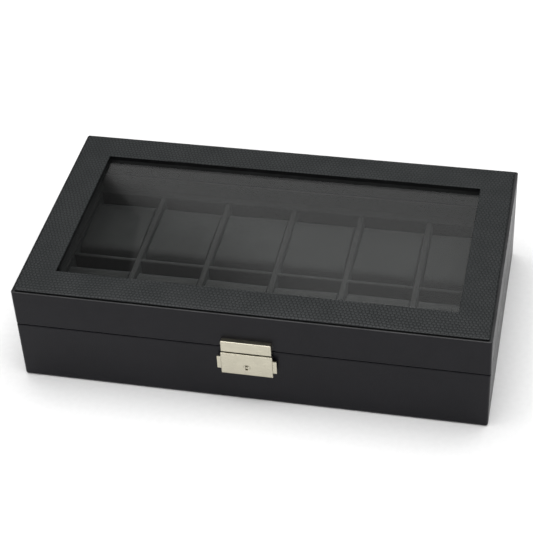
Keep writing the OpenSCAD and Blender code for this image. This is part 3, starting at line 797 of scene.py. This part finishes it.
def rear_panel():
    """The dim panel that the glass mirrors. Its left side leans, which leaves the left compartment clear,
    and it brightens in two steps: a narrow one at that side, and one that is wider towards the top."""
    tilt = math.radians(30.6)
    width, height = 1.12, 1.0
    edge_middle = Vector((-0.594, 1.1, 1.041))
    place = edge_middle + width / 2 * Vector((math.cos(tilt), 0.0, -math.sin(tilt)))
    lamp = panel("rear_panel", (width, height), place, place - Vector((0.0, 1.0, 0.0)), 0.40)
    lamp.rotation_euler.rotate_axis("Z", tilt)
    lamp.visible_transmission = True
    lamp.data.use_nodes = True
    tree = lamp.data.node_tree
    split = tree.nodes.new("ShaderNodeSeparateXYZ")
    geometry = tree.nodes.new("ShaderNodeNewGeometry")
    tree.links.new(geometry.outputs["Parametric"], split.inputs["Vector"])
    across, up = split.outputs["X"], split.outputs["Y"]
    lean = ramp(tree, up, (0.50, 0.60, 0.0, -0.09))
    inside = maths(tree, "ADD", across, lean)
    narrow = ramp(tree, inside, (0.898, 0.886, 0.0, 0.22), "SMOOTHSTEP")
    widening = ramp(tree, up, (0.42, 0.60, 0.866, 0.696))
    wide = ramp(tree, across, (0.911, widening, 0.0, 0.78), "SMOOTHSTEP")
    strength = maths(tree, "ADD", narrow, wide)
    tree.links.new(strength, tree.nodes["Emission"].inputs["Strength"])


def backdrop():
    """White where the camera sees it, straight on or through glass, and a dim light on all else."""
    world = bpy.data.worlds.new("studio")
    bpy.context.scene.world = world
    world.use_nodes = True
    tree = world.node_tree
    dim = tree.nodes["Background"]
    white = tree.nodes.new("ShaderNodeBackground")
    for shader, strength in ((dim, 0.07), (white, 1.0)):
        shader.inputs["Color"].default_value = (1.0, 1.0, 1.0, 1.0)
        shader.inputs["Strength"].default_value = strength
    path = tree.nodes.new("ShaderNodeLightPath")
    other_bounces = maths(tree, "SUBTRACT", path.outputs["Ray Depth"], path.outputs["Transmission Depth"])
    straight = maths(tree, "LESS_THAN", other_bounces, 1.5)
    through_glass = maths(tree, "MULTIPLY", straight, path.outputs["Is Transmission Ray"])
    seen = maths(tree, "MAXIMUM", through_glass, path.outputs["Is Camera Ray"])
    mix = tree.nodes.new("ShaderNodeMixShader")
    tree.links.new(seen, mix.inputs["Fac"])
    tree.links.new(dim.outputs["Background"], mix.inputs[1])
    tree.links.new(white.outputs["Background"], mix.inputs[2])
    tree.links.new(mix.outputs["Shader"], tree.nodes["World Output"].inputs["Surface"])


def paper_floor():
    """The plain pale floor."""
    floor = rounded_box("floor", (-4.0, -4.0, -0.05), (4.0, 4.0, 0.0), 1 * MM, 2.0)
    pale = Shader("floor_paper", (0.9, 0.9, 0.9), 0.9, Specular_IOR_Level=0.1)
    grain = pale.remap(pale.noise(4 * MM, 2.0), 0.3, 0.7)
    pale.colour(pale.mix_colour(grain, (0.89, 0.89, 0.89), (0.91, 0.91, 0.91)))
    floor.data.materials.append(pale.material)


def studio():
    """The floor, the backdrop and three soft panels."""
    bpy.context.scene.view_settings.view_transform = "Standard"
    paper_floor()
    backdrop()
    panel("overhead", (2.6, 2.2), (0.0, 0.1, 2.0), (0.0, 0.1, 0.0), 3.6)
    panel("front_fill", (3.0, 1.2), (0.0, -2.4, 1.0), (0.0, 0.0, 0.05), 2.2)
    rear_panel()


def camera():
    """A long lens in front of the box, above it and a little to the right."""
    cam = bpy.data.cameras.new("camera")
    cam.lens = 108.3
    cam.sensor_width = 36.0
    cam.clip_start, cam.clip_end = 0.05, 50.0
    holder = bpy.data.objects.new("camera", cam)
    holder.location = (0.2125, -0.8774, 0.8017)
    holder.rotation_euler = [math.radians(a) for a in (49.962, 2.613, 11.809)]
    bpy.context.scene.collection.objects.link(holder)
    bpy.context.scene.camera = holder


# ---- build ----

camera()
studio()
padded_top()
for number, board in enumerate(BOARDS):
    wrapped_board(board, number)
lid_linings()
cushions()
lock_coils()
for node_name, node_object in NODES.items():
    if not node_object.hide_render:
        dress_node(node_name)
